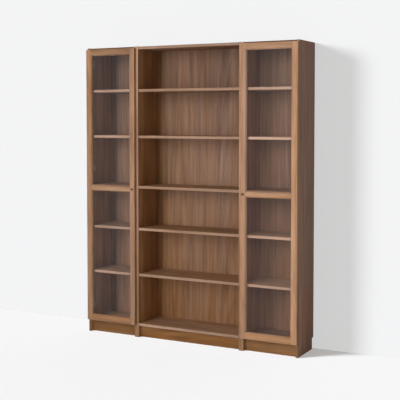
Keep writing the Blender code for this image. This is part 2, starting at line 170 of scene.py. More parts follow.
# Sliced walnut. Growth rings are bands of the distance from a pith line beside the board, and the
# length along the grain counts a little too, so that a flat face shows long pointed arches. Streaks
# and pores are noise drawn out along the grain.
def walnutGroup(name, wood):
    group = bpy.data.node_groups.new(name, "ShaderNodeTree")
    group.interface.new_socket("Grain", in_out="INPUT", socket_type="NodeSocketVector")
    group.interface.new_socket("Tone", in_out="INPUT", socket_type="NodeSocketVector")
    for label, kind in (("Color", "Color"), ("Roughness", "Float"), ("Normal", "Vector")):
        group.interface.new_socket(label, in_out="OUTPUT", socket_type="NodeSocket" + kind)
    given = group.nodes.new("NodeGroupInput").outputs
    grain, boardTone = given["Grain"], given["Tone"]
    slow = vectorCalc(group, "MULTIPLY", grain, walnut["wander"])
    drift = addNode(group, "TexNoise", {"Vector": slow, "Scale": 1.0, "Detail": 2.0}).outputs["Color"]
    centred = vectorCalc(group, "SUBTRACT", drift, (0.5, 0.5, 0.5))
    reach = (walnut["wanderReach"], walnut["wanderReach"], 0.0)
    moved = vectorCalc(group, "MULTIPLY_ADD", centred, reach, grain)
    flattened = vectorCalc(group, "MULTIPLY", moved, (1.0, 1.0, wood["rise"]))
    distance = addNode(group, "VectorMath", {0: flattened}, operation="LENGTH").outputs["Value"]
    values = {"W": calc(group, "DIVIDE", distance, walnut["ringWidth"]), "Scale": 1.0,
              "Detail": walnut["ringDetail"], "Roughness": walnut["coarse"]}
    rings = addNode(group, "TexNoise", values, noise_dimensions="1D").outputs["Fac"]
    streak = drawnNoise(group, moved, wood["streak"], walnut["streakDetail"], walnut["coarse"])
    thread = drawnNoise(group, grain, walnut["thread"], 2.0, walnut["threadCoarse"])
    cloud = drawnNoise(group, grain, walnut["cloud"])
    pore = drawnNoise(group, grain, walnut["pore"], 1.0)
    pit = remap(group, pore, walnut["poreFrom"], walnut["poreFull"])
    shares = walnut["shares"]
    tone = calc(group, "MULTIPLY", rings, shares["rings"])
    for label, layer in (("streak", streak), ("thread", thread), ("cloud", cloud)):
        tone = calc(group, "MULTIPLY_ADD", layer, shares[label], tone)
    colour = ramp(group, tone, [(walnut["darkFrom"], wood["dark"]), (walnut["lightFrom"], wood["light"]),
                                (walnut["midAt"], wood["mid"])])
    ink = calc(group, "MULTIPLY", pit, walnut["poreInk"])
    colour = blendColours(group, ink, colour, (*wood["dark"], 1.0))
    lean = drawnNoise(group, grain, walnut["cast"])
    cast = ramp(group, lean, [(walnut["castFrom"], walnut["orange"]), (walnut["castTo"], walnut["grey"])])
    colour = blendColours(group, 1.0, colour, cast, "MULTIPLY")
    colour = vectorCalc(group, "MULTIPLY", colour, boardTone)
    rough = calc(group, "MULTIPLY_ADD", streak, walnut["streakRough"], walnut["rough"])
    rough = calc(group, "MULTIPLY_ADD", pit, walnut["poreRough"], rough)
    height = calc(group, "MULTIPLY", thread, walnut["threadHeight"])
    height = calc(group, "MULTIPLY_ADD", pit, walnut["poreHeight"], height)
    values = {"Strength": walnut["bump"], "Distance": walnut["bumpHeight"], "Height": height}
    normal = addNode(group, "Bump", values).outputs["Normal"]
    end = group.nodes.new("NodeGroupOutput")
    for label, source in (("Color", colour), ("Roughness", rough), ("Normal", normal)):
        group.links.new(source, end.inputs[label])
    return group


walnutGroups = {kind: walnutGroup("walnut" + kind.capitalize(), walnut[kind])
                for kind in ("board", "frame", "back")}


# Walnut for one board. Object coordinates are put in the order across, through, along, and moved so
# that each board is cut from its own place in the trunk.
# leaf: width of veneer leaves laid side by side, each of them from its own place too.
# tone: makes the board darker or lighter than the rest. With a drift axis it is a list of marks,
# each (share of the length, tone), and the tone goes smoothly from mark to mark.
# lean: painted warm shade beside the left side panel: (share of the width, tone at the left edge), which
# fades out towards the right.
# edged: gives the front edge a paler strip, partly an edge band and partly painted light. strip is its own
# tone, where it isn't the board's, and on an upright board it has painted shade near the floor and painted
# light higher up.
def walnutMaterial(name, kind, order, low, high, tone=1.0, drift="", leaf=0.0, lean=None,
                   edged=False, strip=None, upright=False):
    made, tree, place = newMaterial(name)
    parts = addNode(tree, "SeparateXYZ", {0: place}).outputs
    acrossAxis, throughAxis, alongAxis = (axisNumber(letter) for letter in order)
    middle = [(low[i] + high[i]) / 2 for i in range(3)]
    across, along = parts[acrossAxis], parts[alongAxis]
    if leaf:
        fromEdge = calc(tree, "SUBTRACT", across, low[acrossAxis])
        number = calc(tree, "FLOOR", calc(tree, "DIVIDE", fromEdge, leaf))
        across = calc(tree, "MULTIPLY_ADD", number, -leaf, across)
        along = calc(tree, "MULTIPLY_ADD", number, walnut["leafStep"], along)
        centre = low[acrossAxis] + leaf * rng.uniform(*walnut["leafCentre"])
    else:
        centre = middle[acrossAxis] + rng.uniform(*walnut["boardCentre"])
    turned = addNode(tree, "CombineXYZ", {0: across, 1: parts[throughAxis], 2: along}).outputs[0]
    pith = middle[throughAxis] + rng.choice((-1, 1)) * rng.uniform(*walnut["pithReach"])
    trunkPlace = middle[alongAxis] + rng.uniform(*walnut["trunkReach"])
    values = {"Vector": turned, "Location": (-centre, -pith, -trunkPlace)}
    grain = addNode(tree, "Mapping", values).outputs[0]
    share = rng.uniform(*walnut["toneSpread"])
    marks = [(at, np.ones(3) * np.array(shade) * share) for at, shade in (tone if drift else [(0.0, tone)])]
    shown = tuple(marks[0][1])
    for (first, _), (last, shade) in zip(marks, marks[1:]):
        k = axisNumber(drift)
        start, end = (low[k] + at * (high[k] - low[k]) for at in (first, last))
        shown = easedTone(tree, parts[k], start, end, shown, tuple(shade))
    # Painted warm shade beside the left side panel, fading out towards the right
    if lean:
        reach, sideShadeTone = lean
        end = low.x + reach * (high.x - low.x)
        fading = easedTone(tree, parts["X"], low.x, end, sideShadeTone, (1.0, 1.0, 1.0))
        shown = vectorCalc(tree, "MULTIPLY", shown, fading)
    if edged:
        onEdge = calc(tree, "LESS_THAN", parts["Y"], low.y + walnut["edgeSeam"])
        own = marks[0][1] if strip is None else share * np.array(strip)
        own = own * np.array(walnut["edge"])
        # Painted shade darkens an upright strip towards the floor and painted light brightens it towards the
        # top
        if upright:
            foot, head = (tuple(own * walnut[end]) for end in ("stripFootShade", "stripHeadLight"))
            stripTone = easedTone(tree, parts["Z"], low.z, low.z + walnut["stripRise"], foot, head)
        else:
            stripTone = tuple(own)
        shown = addNode(tree, "Mix", {0: onEdge, 4: shown, 5: stripTone}, data_type="VECTOR").outputs[1]
    wood = addNode(tree, "Group", {"Grain": grain, "Tone": shown}, node_tree=walnutGroups[kind]).outputs
    values = {"Base Color": wood["Color"], "Roughness": wood["Roughness"], "Normal": wood["Normal"],
              "Specular IOR Level": walnut["gloss"]}
    closeMaterial(tree, addNode(tree, "BsdfPrincipled", values).outputs[0])
    return made


glass = {"haze": (3.0, 3.0, 1.2), "hazeDetail": 3.0, "hazeCoarse": 0.6, "hazeFrom": 0.3, "hazeTo": 0.7,
         "tintFrom": (0.984, 0.984, 0.986), "tintTo": (0.994, 0.994, 0.995),
         "mirror": (0.74, 0.80, 0.88), "roughFrom": 0.02, "roughTo": 0.07, "index": 1.45}


# Clear float glass: tinted see-through with a dim mirror on top, stronger at a glancing look. Only the
# outward side of a face mirrors, so light that leaves the pane isn't held inside it.
def glassMaterial():
    made, tree, place = newMaterial("clearGlass")
    haze = drawnNoise(tree, place, glass["haze"], glass["hazeDetail"], glass["hazeCoarse"])
    tint = ramp(tree, haze, [(glass["hazeFrom"], glass["tintFrom"]), (glass["hazeTo"], glass["tintTo"])])
    clear = addNode(tree, "BsdfTransparent", {"Color": tint}).outputs[0]
    rough = remap(tree, haze, glass["hazeFrom"], glass["hazeTo"], glass["roughFrom"], glass["roughTo"])
    values = {"Base Color": (*glass["mirror"], 1.0), "Metallic": 1.0, "Roughness": rough}
    mirror = addNode(tree, "BsdfPrincipled", values).outputs[0]
    outside = calc(tree, "SUBTRACT", 1.0, addNode(tree, "NewGeometry").outputs["Backfacing"])
    fresnel = addNode(tree, "Fresnel", {"IOR": glass["index"]}).outputs[0]
    share = calc(tree, "MULTIPLY", fresnel, outside)
    closeMaterial(tree, addNode(tree, "MixShader", {0: share, 1: clear, 2: mirror}).outputs[0])
    return made


steel = {"brush": (2600.0, 2600.0, 160.0), "smudge": 90.0, "brushFrom": 0.3, "brushTo": 0.7,
         "dark": (0.52, 0.51, 0.49), "light": (0.70, 0.69, 0.67), "rough": 0.17, "smudgeRough": 0.22,
         "bump": 0.12, "bumpHeight": 0.0001}


# Nickel-plated steel: fine brushing drawn out along Z varies tone and gloss.
def steelMaterial():
    made, tree, place = newMaterial("nickelSteel")
    brushed = drawnNoise(tree, place, steel["brush"])
    smudge = noise(tree, place, steel["smudge"])
    colour = ramp(tree, brushed, [(steel["brushFrom"], steel["dark"]), (steel["brushTo"], steel["light"])])
    rough = calc(tree, "MULTIPLY_ADD", smudge, steel["smudgeRough"], steel["rough"])
    values = {"Strength": steel["bump"], "Distance": steel["bumpHeight"], "Height": brushed}
    normal = addNode(tree, "Bump", values).outputs[0]
    values = {"Base Color": colour, "Metallic": 1.0, "Roughness": rough, "Normal": normal}
    closeMaterial(tree, addNode(tree, "BsdfPrincipled", values).outputs[0])
    return made


bronze = {"mottle": 420.0, "mottleDetail": 3.0, "mottleCoarse": 0.6, "mottleFrom": 0.32, "mottleTo": 0.68,
          "dark": (0.205, 0.076, 0.030), "light": (0.360, 0.144, 0.062),
          "metal": 0.3, "rough": 0.24, "mottleRough": 0.25}


# Dark bronze lacquer, mottled in tone and gloss.
def bronzeMaterial():
    made, tree, place = newMaterial("bronzeLacquer")
    mottle = noise(tree, place, bronze["mottle"], bronze["mottleDetail"], bronze["mottleCoarse"])
    colour = ramp(tree, mottle, [(bronze["mottleFrom"], bronze["dark"]),
                                 (bronze["mottleTo"], bronze["light"])])
    rough = calc(tree, "MULTIPLY_ADD", mottle, bronze["mottleRough"], bronze["rough"])
    values = {"Base Color": colour, "Metallic": bronze["metal"], "Roughness": rough}
    closeMaterial(tree, addNode(tree, "BsdfPrincipled", values).outputs[0])
    return made


plastic = {"milk": 600.0, "milkFrom": 0.3, "milkTo": 0.7,
           "dark": (0.44, 0.43, 0.41), "light": (0.56, 0.55, 0.52), "rough": 0.3, "milkRough": 0.2}


# Soft milky plastic of the buffers.
def plasticMaterial():
    made, tree, place = newMaterial("softPlastic")
    milk = noise(tree, place, plastic["milk"])
    colour = ramp(tree, milk, [(plastic["milkFrom"], plastic["dark"]), (plastic["milkTo"], plastic["light"])])
    rough = calc(tree, "MULTIPLY_ADD", milk, plastic["milkRough"], plastic["rough"])
    values = {"Base Color": colour, "Roughness": rough}
    closeMaterial(tree, addNode(tree, "BsdfPrincipled", values).outputs[0])
    return made


glassFinish = glassMaterial()
steelFinish = steelMaterial()
bronzeFinish = bronzeMaterial()
plasticFinish = plasticMaterial()
print("materials made")


# Edges that turn by more than these angles, in degrees, stay sharp
sharpEdges = {"plain": 30.0, "bar": 25.0, "turned": 40.0, "screw": 28.0}


def meshObject(name, points, faces, material, kind="plain"):
    mesh = bpy.data.meshes.new(name)
    mesh.from_pydata(np.asarray(points).tolist(), [], faces)
    mesh.materials.append(material)
    mesh.validate()
    mesh.shade_smooth()
    mesh.set_sharp_from_angle(angle=math.radians(sharpEdges[kind]))
    made = bpy.data.objects.new(name, mesh)
    bpy.context.scene.collection.objects.link(made)
    return made


# Two unit vectors square to a direction, and the direction itself, in right-handed order.
def crossAxes(direction):
    axis = np.array(direction, float)
    side = np.array((0.0, 0.0, 1.0)) if abs(axis[2]) < 0.5 else np.array((1.0, 0.0, 0.0))
    return side, np.cross(axis, side), axis


# Faces of a grid of rings: squares from ring to ring, and triangles from the first and the last ring
# to the two points that come after the rings.
def ringFaces(count, sides):
    rows = np.arange(count - 1)[:, None] * sides
    columns = np.arange(sides)[None, :]
    after = (columns + 1) % sides
    quads = np.stack([rows + columns, rows + after, rows + sides + after, rows + sides + columns], -1)
    first, top = count * sides, (count - 1) * sides
    low = np.stack([np.full(sides, first), after[0], columns[0]], -1)
    high = np.stack([np.full(sides, first + 1), top + columns[0], top + after[0]], -1)
    return quads.reshape(-1, 4).tolist() + low.tolist() + high.tolist()


# A lathe surface: radius and height are given ring by ring, each ring is radius times (cos a, sin a)
# at its height, and one point closes each end. lift adds to the height at (radius, angle).
def turnedMesh(radii, heights, sides, centre, direction, lift=None):
    radii, heights = np.array(radii, float), np.array(heights, float)
    angle = np.linspace(0.0, 2 * np.pi, sides, endpoint=False)
    u, v, w = crossAxes(direction)
    rise = heights[:, None] + (0.0 if lift is None else lift(radii[:, None], angle[None, :]))
    rise = np.broadcast_to(rise, (len(radii), sides))
    ring = (radii[:, None] * np.cos(angle))[..., None] * u + (radii[:, None] * np.sin(angle))[..., None] * v
    points = (ring + rise[..., None] * w).reshape(-1, 3)
    ends = np.array([rise[0].mean() * w, rise[-1].mean() * w])
    return np.concatenate([points, ends]) + np.array(centre), ringFaces(len(radii), sides)


def joinMeshes(parts):
    # Several (points, faces) pairs as one pair
    points, faces, count = [], [], 0
    for some, corners in parts:
        faces += [[i + count for i in face] for face in corners]
        points.append(some)
        count += len(some)
    return np.concatenate(points), faces


# A smooth curve through (radius, height) marks. Between two marks it is a cubic that leaves each mark
# in the direction from the mark before it to the mark after it.
def smoothProfile(marks, steps):
    marks = np.array(marks, float)
    t = np.linspace(0.0, len(marks) - 1, steps)
    i = np.clip(t.astype(int), 0, len(marks) - 2)
    f = (t - i)[:, None]
    a, b = marks[i], marks[i + 1]
    before, after = marks[np.maximum(i - 1, 0)], marks[np.minimum(i + 2, len(marks) - 1)]
    bend = (2 * before - 5 * a + 4 * b - after) * f ** 2 + (3 * a - before - 3 * b + after) * f ** 3
    curve = 0.5 * (2 * a + (b - before) * f + bend)
    return curve[:, 0], curve[:, 1]


def settle(thing):
    # Applies the modifiers and removes the cutting shapes
    bpy.context.view_layer.update()
    mesh = bpy.data.meshes.new_from_object(thing.evaluated_get(bpy.context.evaluated_depsgraph_get()))
    tools = [step.object for step in thing.modifiers if step.type == "BOOLEAN"]
    thing.modifiers.clear()
    old = thing.data
    thing.data = mesh
    bpy.data.meshes.remove(old)
    mesh.name = thing.name
    for tool in tools:
        bpy.data.objects.remove(tool, do_unlink=True)


def cut(thing, points, faces):
    tool = meshObject(thing.name + "_tool", points, faces, thing.data.materials[0])
    step = thing.modifiers.new("cut", "BOOLEAN")
    step.operation = "DIFFERENCE"
    step.solver = "EXACT"
    step.object = tool
    settle(thing)


def outward(thing):
    # Turns all faces outwards
    bm = bmesh.new()
    bm.from_mesh(thing.data)
    bmesh.ops.recalc_face_normals(bm, faces=bm.faces)
    bm.to_mesh(thing.data)
    bm.free()


def nodeMiddle(name):
    low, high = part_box(name)
    return (low + high) / 2


# overcut is how far a cutting shape stands out of the bar
doorFrame = {"stile": 0.0445, "rail": 0.0445, "midRail": 0.044, "midRailZ": 1.0135, "bevel": 0.009,
             "groove": 0.005, "grooveWidth": 0.0046, "seam": 0.00006,
             "arris": 0.0006, "arrisSegments": 2, "arrisAngle": 32.0,
             "boreInset": 0.0205, "boreRadius": 0.0175, "boreDepth": 0.0126, "boreSides": 64,
             "knobInset": 0.019, "screwHole": 0.0023, "holeSides": 24, "overcut": 0.002}
# How light each bar's walnut is: partly its tone, partly a painted sheen that makes the right door lighter
# than the left. The stile with two marks has painted warm light on its outer edge, the side face in the gap
doorTonesAndSheen = {
    "left_door": {"stile_l": (0.84, 0.80, 0.72),
                  "stile_r": [(0.985, (0.84, 0.90, 1.04)), (1.0, (1.00, 0.91, 0.68))],
                  "rail_low": (0.84, 0.80, 0.72), "rail_mid": (0.86, 0.88, 0.91),
                  "rail_high": (0.69, 0.68, 0.62)},
    "right_door": {"stile_l": (1.10, 1.14, 1.25), "stile_r": 1.34,
                   "rail_low": (1.17, 1.12, 0.94), "rail_mid": (1.29, 1.27, 1.24), "rail_high": 1.02}}


# Cross-section of a frame bar: flat face, sloping inner edge, pane groove, flat back. Points are
# (across from the outer edge, depth from the front face). Both edges slope on the middle rail.
# The lists after the points split the section into shapes that close a bar's ends.
def barOutline(width, depth, both):
    b, g, w = doorFrame["bevel"], doorFrame["groove"], doorFrame["grooveWidth"]
    inner = [(width - b, 0), (width, b), (width - g, b), (width - g, b + w), (width, b + w), (width, depth)]
    if both:
        outer = [(0, depth), (0, b + w), (g, b + w), (g, b), (0, b), (b, 0)]
        return np.array(inner + outer), [[11, 0, 1, 2, 9, 10], [2, 3, 4, 5, 6, 7, 8, 9]]
    return np.array(inner + [(0, depth), (0, b), (0, 0)]), [[8, 0, 1, 2, 7], [2, 3, 4, 5, 6, 7]]


# A bar is its cross-section carried in a straight line. Where it meets a stile its end is coped: it
# reaches over the stile's slope by bevel minus depth.
def frameBar(name, origin, acrossAxis, alongAxis, length, outline, caps, coped, material):
    over = np.zeros(len(outline))
    if coped:
        over = np.maximum(0.0, doorFrame["bevel"] - outline[:, 1]) - doorFrame["seam"]
    origin, acrossAxis, alongAxis = (np.array(v, float) for v in (origin, acrossAxis, alongAxis))
    section = origin + outline[:, :1] * acrossAxis + outline[:, 1:] * np.array((0.0, 1.0, 0.0))
    near = section - over[:, None] * alongAxis
    far = section + (length + over)[:, None] * alongAxis
    n = len(outline)
    i = np.arange(n)
    j = (i + 1) % n
    sides = np.stack([i, j, n + j, n + i], -1).tolist()
    faces = sides + [cap[::-1] for cap in caps] + [[n + k for k in cap] for cap in caps]
    made = meshObject(name, np.concatenate([near, far]), faces, material)
    outward(made)
    step = made.modifiers.new("arris", "BEVEL")
    step.width = doorFrame["arris"]
    step.segments = doorFrame["arrisSegments"]
    step.limit_method = "ANGLE"
    step.angle_limit = math.radians(doorFrame["arrisAngle"])
    settle(made)
    return made


# Hinge cups sit in round bores in the back of the stile on the hinge side.
def cutHingeBores(bar, door, hingeSide, outer, backY):
    depth, extra = doorFrame["boreDepth"], 2 * doorFrame["overcut"]
    bores = []
    for level in hingeLevels:
        z = nodeMiddle(f"{door}_hinge_cup_{level}").z
        centre = (outer - hingeSide * doorFrame["boreInset"], backY - depth, z)
        bores.append(turnedMesh([doorFrame["boreRadius"]] * 2, [0.0, depth + extra], doorFrame["boreSides"],
                                centre, (0, 1, 0)))
    cut(bar, *joinMeshes(bores))


# The knob's screw goes through the other stile, at the middle of the middle rail.
def cutKnobHole(bar, hingeSide, free, frontY, depth):
    extra = doorFrame["overcut"]
    z = doorFrame["midRailZ"] + doorFrame["midRail"] / 2
    centre = (free + hingeSide * doorFrame["knobInset"], frontY - extra, z)
    cut(bar, *turnedMesh([doorFrame["screwHole"]] * 2, [0.0, depth + 2 * extra], doorFrame["holeSides"],
                         centre, (0, 1, 0)))


def buildDoorFrame(door, hingeSide):
    low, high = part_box(door + "_frame")
    depth, tall = high.y - low.y, high.z - low.z
    s = doorFrame["stile"]
    inner, inside = low.x + s, high.x - low.x - 2 * s
    outer, free = (low.x, high.x) if hingeSide < 0 else (high.x, low.x)
    # For each kind of bar: outline, end caps, whether it is coped, and its order across, through, along
    stile = (*barOutline(s, depth, False), False, "XYZ")
    rail = (*barOutline(doorFrame["rail"], depth, False), True, "ZYX")
    midRail = (*barOutline(doorFrame["midRail"], depth, True), True, "ZYX")
    plan = [
        ("stile_l", (low.x, low.y, low.z), (1, 0, 0), (0, 0, 1), tall, *stile),
        ("stile_r", (high.x, low.y, low.z), (-1, 0, 0), (0, 0, 1), tall, *stile),
        ("rail_low", (inner, low.y, low.z), (0, 0, 1), (1, 0, 0), inside, *rail),
        ("rail_mid", (inner, low.y, doorFrame["midRailZ"]), (0, 0, 1), (1, 0, 0), inside, *midRail),
        ("rail_high", (inner, low.y, high.z), (0, 0, -1), (1, 0, 0), inside, *rail),
    ]
    for label, origin, across, along, length, outline, caps, coped, order in plan:
        start = np.array(origin, float)
        end = start + np.array(along) * length + np.array(across) * s + np.array((0, depth, 0))
        tone = doorTonesAndSheen[door][label]
        material = walnutMaterial(f"{door}_{label}_walnut", "frame", order,
                                  np.minimum(start, end), np.maximum(start, end),
                                  tone=tone, drift="X" if isinstance(tone, list) else "")
        bar = frameBar(f"{door}_{label}", origin, across, along, length, outline, caps, coped, material)
        if label == ("stile_l" if hingeSide < 0 else "stile_r"):
            cutHingeBores(bar, door, hingeSide, outer, high.y)
        elif label.startswith("stile"):
            cutKnobHole(bar, hingeSide, free, low.y, depth)
        bar.data.shade_smooth()
        bar.data.set_sharp_from_angle(angle=math.radians(sharpEdges["bar"]))
        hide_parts(door + "_frame")
        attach(bar, door)


for door, hingeSide in doors:
    buildDoorFrame(door, hingeSide)
print("door frames made")


# The profile is (radius, height above the door), from the foot up to the top of the head
knob = {"profile": [(0.0056, 0.0000), (0.0059, 0.0007), (0.0055, 0.0016), (0.0043, 0.0036), (0.0042, 0.0062),
                    (0.0055, 0.0088), (0.0070, 0.0112), (0.0080, 0.0138), (0.0074, 0.0166), (0.0056, 0.0188),
                    (0.0028, 0.0198), (0.0004, 0.0200)],
        "steps": 52, "reach": 0.0200, "bore": 0.0023, "boreDepth": 0.0103, "boreTip": 0.0006, "sides": 56}


# The knob is turned: its profile runs down the screw hole, out over the foot, in to a waisted neck
# and up round a cushion-shaped head.
def buildKnob(door):
    low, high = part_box(door + "_knob")
    middle = (low + high) / 2
    radii, heights = smoothProfile(knob["profile"], knob["steps"])
    radii = np.concatenate([[knob["boreTip"], knob["bore"], knob["bore"]], radii])
    heights = np.concatenate([[knob["boreDepth"], knob["boreDepth"], 0.0], heights])
    heights = np.clip(heights, 0.0, knob["reach"])
    points, faces = turnedMesh(radii, heights, knob["sides"], (middle.x, high.y, middle.z), (0, -1, 0))
    made = meshObject(door + "_turned_knob", points, faces, bronzeFinish, "turned")
    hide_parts(door + "_knob")
    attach(made, door)


# Lengths are shares of the head's radius, and heights are shares of its height
screw = {"rim": (0.98, 1.0, 0.97), "rimHeights": (0.0, 0.12, 0.40), "rimRings": 3,
         "domeFrom": 0.9, "domeTo": 0.03, "domeRings": 13, "domeFoot": 0.45, "sides": 40,
         "recess": 0.62, "armHalf": 0.17, "recessDepth": 0.75, "armWall": 1.6, "armEnd": 0.25, "limit": 1.2}


# A cross recess. Its depth falls off with the smaller of |x| and |y| over the arm's half width, and
# near the arms' ends with the larger of the two.
def crossRecess(reach, halfWidth, depth):
    def lift(radius, angle):
        x, y = np.abs(radius * np.cos(angle)), np.abs(radius * np.sin(angle))
        arm = np.clip(screw["armWall"] - np.minimum(x, y) / halfWidth, 0.0, 1.0)
        end = np.clip((reach - np.maximum(x, y)) / (screw["armEnd"] * reach), 0.0, 1.0)
        return -depth * arm * end * (radius < reach * screw["limit"])
    return lift


# A screw head: a rim, then a low dome whose height follows the square root of 1 minus the square of
# the radius, cut by a cross recess.
def screwHead(radius, height, centre, direction):
    dome = np.linspace(screw["domeFrom"], screw["domeTo"], screw["domeRings"])
    rings = np.concatenate([radius * np.array(screw["rim"]), radius * dome])
    foot, away = screw["domeFoot"], rings[screw["rimRings"]:] / radius
    rise = height * (foot + (1 - foot) * np.sqrt(np.clip(1 - away ** 2, 0, 1)))
    heights = np.concatenate([height * np.array(screw["rimHeights"]), rise])
    recess = crossRecess(radius * screw["recess"], radius * screw["armHalf"], height * screw["recessDepth"])
    onDome = np.arange(len(rings))[:, None] >= screw["rimRings"]
    return turnedMesh(rings, heights, screw["sides"], centre, direction, lambda r, a: recess(r, a) * onDome)


# Places are measured from the pivot, screws are (radius, height) of the head
hinge = {"pivotInset": 0.0072, "pivotDepth": 0.0086, "boreInset": 0.0133,
         "earShift": 0.0060, "earReach": 0.0243, "earFace": 0.0099, "earScrew": (0.0036, 0.0011),
         "plateFace": 0.0130, "plateY": 0.0491, "plateReach": 0.0170, "plateScrew": (0.0038, 0.0013),
         "armFace": 0.0200, "armScrewY": (0.0290, 0.0640), "armScrew": (0.0034, 0.0009)}


# The screws of one door's hinges: two on each cup's ears, two on each plate and two on each arm.
def buildHingeScrews(door, hingeSide):
    low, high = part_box(door + "_frame")
    inward = -hingeSide
    pivotX = (low.x if hingeSide < 0 else high.x) + inward * hinge["pivotInset"]
    pivotY = high.y - hinge["pivotDepth"]
    earX, earY = pivotX + inward * (hinge["boreInset"] + hinge["earShift"]), pivotY + hinge["earFace"]
    plateX, plateY = pivotX + inward * hinge["plateFace"], pivotY + hinge["plateY"]
    armX = pivotX + inward * hinge["armFace"]
    for level in hingeLevels:
        z = nodeMiddle(f"{door}_hinge_cup_{level}").z
        heads = [screwHead(*hinge["earScrew"], (earX, earY, z + side * hinge["earReach"]), (0, 1, 0))
                 for side in (-1, 1)]
        cupScrews = meshObject(f"{door}_cup_screws_{level}", *joinMeshes(heads), steelFinish, "screw")
        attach(cupScrews, door)
        way = (inward, 0, 0)
        heads = [screwHead(*hinge["plateScrew"], (plateX, plateY, z + side * hinge["plateReach"]), way)
                 for side in (-1, 1)]
        heads += [screwHead(*hinge["armScrew"], (armX, pivotY + y, z), way) for y in hinge["armScrewY"]]
        plateScrews = meshObject(f"{door}_plate_screws_{level}", *joinMeshes(heads), steelFinish, "screw")
        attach(plateScrews, "carcass")


knobScrew = {"head": (0.00372, 0.0020), "headSeat": 0.0021, "shankEnd": 0.0019,
             "radius": 0.0020, "pitch": 0.0007, "depth": 0.00022, "sides": 20, "ringsPerTurn": 6}


# A threaded shank along Y: the radius shrinks by depth times a zigzag that makes one turn a pitch.
def threadedShank(middle, start, length):
    radius, pitch, sides = knobScrew["radius"], knobScrew["pitch"], knobScrew["sides"]
    heights = np.linspace(0.0, length, int(length / pitch * knobScrew["ringsPerTurn"]))
    angle = np.linspace(0.0, 2 * np.pi, sides, endpoint=False)
    turn = heights[:, None] / pitch - angle[None, :] / (2 * np.pi)
    r = radius - knobScrew["depth"] * np.abs((turn % 1.0) * 2 - 1)
    y = np.broadcast_to(start + heights[:, None], r.shape)
    points = np.stack([middle.x + r * np.sin(angle), y, middle.z + r * np.cos(angle)], -1).reshape(-1, 3)
    ends = [(middle.x, start, middle.z), (middle.x, start + length, middle.z)]
    return np.concatenate([points, ends]), ringFaces(len(heights), sides)


# The screw that holds the knob: a head in the back of the stile and a threaded shank.
def buildKnobScrew(door):
    low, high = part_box(door + "_knob_screw")
    middle = (low + high) / 2
    head = screwHead(*knobScrew["head"], (middle.x, high.y - knobScrew["headSeat"], middle.z), (0, 1, 0))
    shank = threadedShank(middle, low.y, high.y - low.y - knobScrew["shankEnd"])
    made = meshObject(door + "_knob_fixing", *joinMeshes([head, shank]), steelFinish, "screw")
    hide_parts(door + "_knob_screw")
    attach(made, door)


# rim and crown are shares of the radius or the height, turn is a share of a quarter turn
buffer = {"radius": 0.0040, "rim": 0.97, "rimHeight": 0.15, "crownRadius": 0.25, "crownHeight": 0.35,
          "crownShare": 0.99, "turn": 0.97, "steps": 9, "sides": 40}


# A door buffer is a low dome. Its radius follows crown + (1 - crown) cos a, its height
# crown + (1 - crown) sin a of one angle.
def buildBuffer(door, level):
    low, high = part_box(f"{door}_buffer_{level}")
    middle = (low + high) / 2
    r, height = buffer["radius"], high.y - low.y
    flat, foot = buffer["crownRadius"], buffer["crownHeight"]
    a = np.linspace(0.0, np.pi / 2 * buffer["turn"], buffer["steps"])[1:]
    crown = r * (flat + (1 - flat) * np.cos(a)) * buffer["crownShare"]
    radii = np.concatenate([[r * buffer["rim"], r], crown])
    heights = np.concatenate([[0.0, buffer["rimHeight"] * height], height * (foot + (1 - foot) * np.sin(a))])
    points, faces = turnedMesh(radii, heights, buffer["sides"], (middle.x, low.y, middle.z), (0, 1, 0))
    made = meshObject(f"{door}_soft_buffer_{level}", points, faces, plasticFinish, "turned")
    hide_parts(f"{door}_buffer_{level}")
    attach(made, door)


# under, front and rear place the pins: below the shelf, and from the side panel's two edges
pin = {"radius": 0.00265, "groove": 0.0003, "grooveHeights": (0.0, 0.0009, 0.0011, 0.0017, 0.0019),
       "reach": 0.0083, "round": 0.0012, "tipTurn": 0.96, "tipSteps": 6, "sides": 20,
       "under": 0.0028, "front": 0.037, "rear": 0.052, "panel": 0.016}


def panelFaces(unit):
    # The inner faces of a unit's two side panels: the outer faces, moved in by the board's thickness
    left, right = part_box(unit + "_side_l"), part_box(unit + "_side_r")
    return left[0].x + pin["panel"], right[1].x - pin["panel"]


# A nickel sleeve on each shelf pin: a turned shape with a groove near the panel and a tip rounded by
# a quarter circle.
def buildShelfPins(unit):
    faceLeft, faceRight = panelFaces(unit)
    sideLow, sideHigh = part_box(unit + "_side_l")
    r, g, e = pin["radius"], pin["groove"], pin["round"]
    a = np.linspace(0.0, np.pi / 2 * pin["tipTurn"], pin["tipSteps"])
    radii = np.concatenate([[r, r, r - g, r - g, r], r - e + e * np.cos(a)])
    heights = np.concatenate([pin["grooveHeights"], pin["reach"] - e + e * np.sin(a)])
    parts = []
    for n in (1, 2, 3, 4):
        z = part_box(f"{unit}_shelf_{n}")[0].z - pin["under"]
        for y in (sideLow.y + pin["front"], sideHigh.y - pin["rear"]):
            for x, way in ((faceLeft, 1), (faceRight, -1)):
                parts.append(turnedMesh(radii, heights, pin["sides"], (x, y, z), (way, 0, 0)))
    made = meshObject(unit + "_shelf_pins", *joinMeshes(parts), steelFinish, "turned")
    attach(made, "carcass")


for door, hingeSide in doors:
    buildKnob(door)
    buildKnobScrew(door)
    buildHingeScrews(door, hingeSide)
    for level in ("low", "high"):
        buildBuffer(door, level)
for unit in ("left_unit", "centre_unit", "right_unit"):
    buildShelfPins(unit)
print("knobs, screws, buffers and shelf pins made")


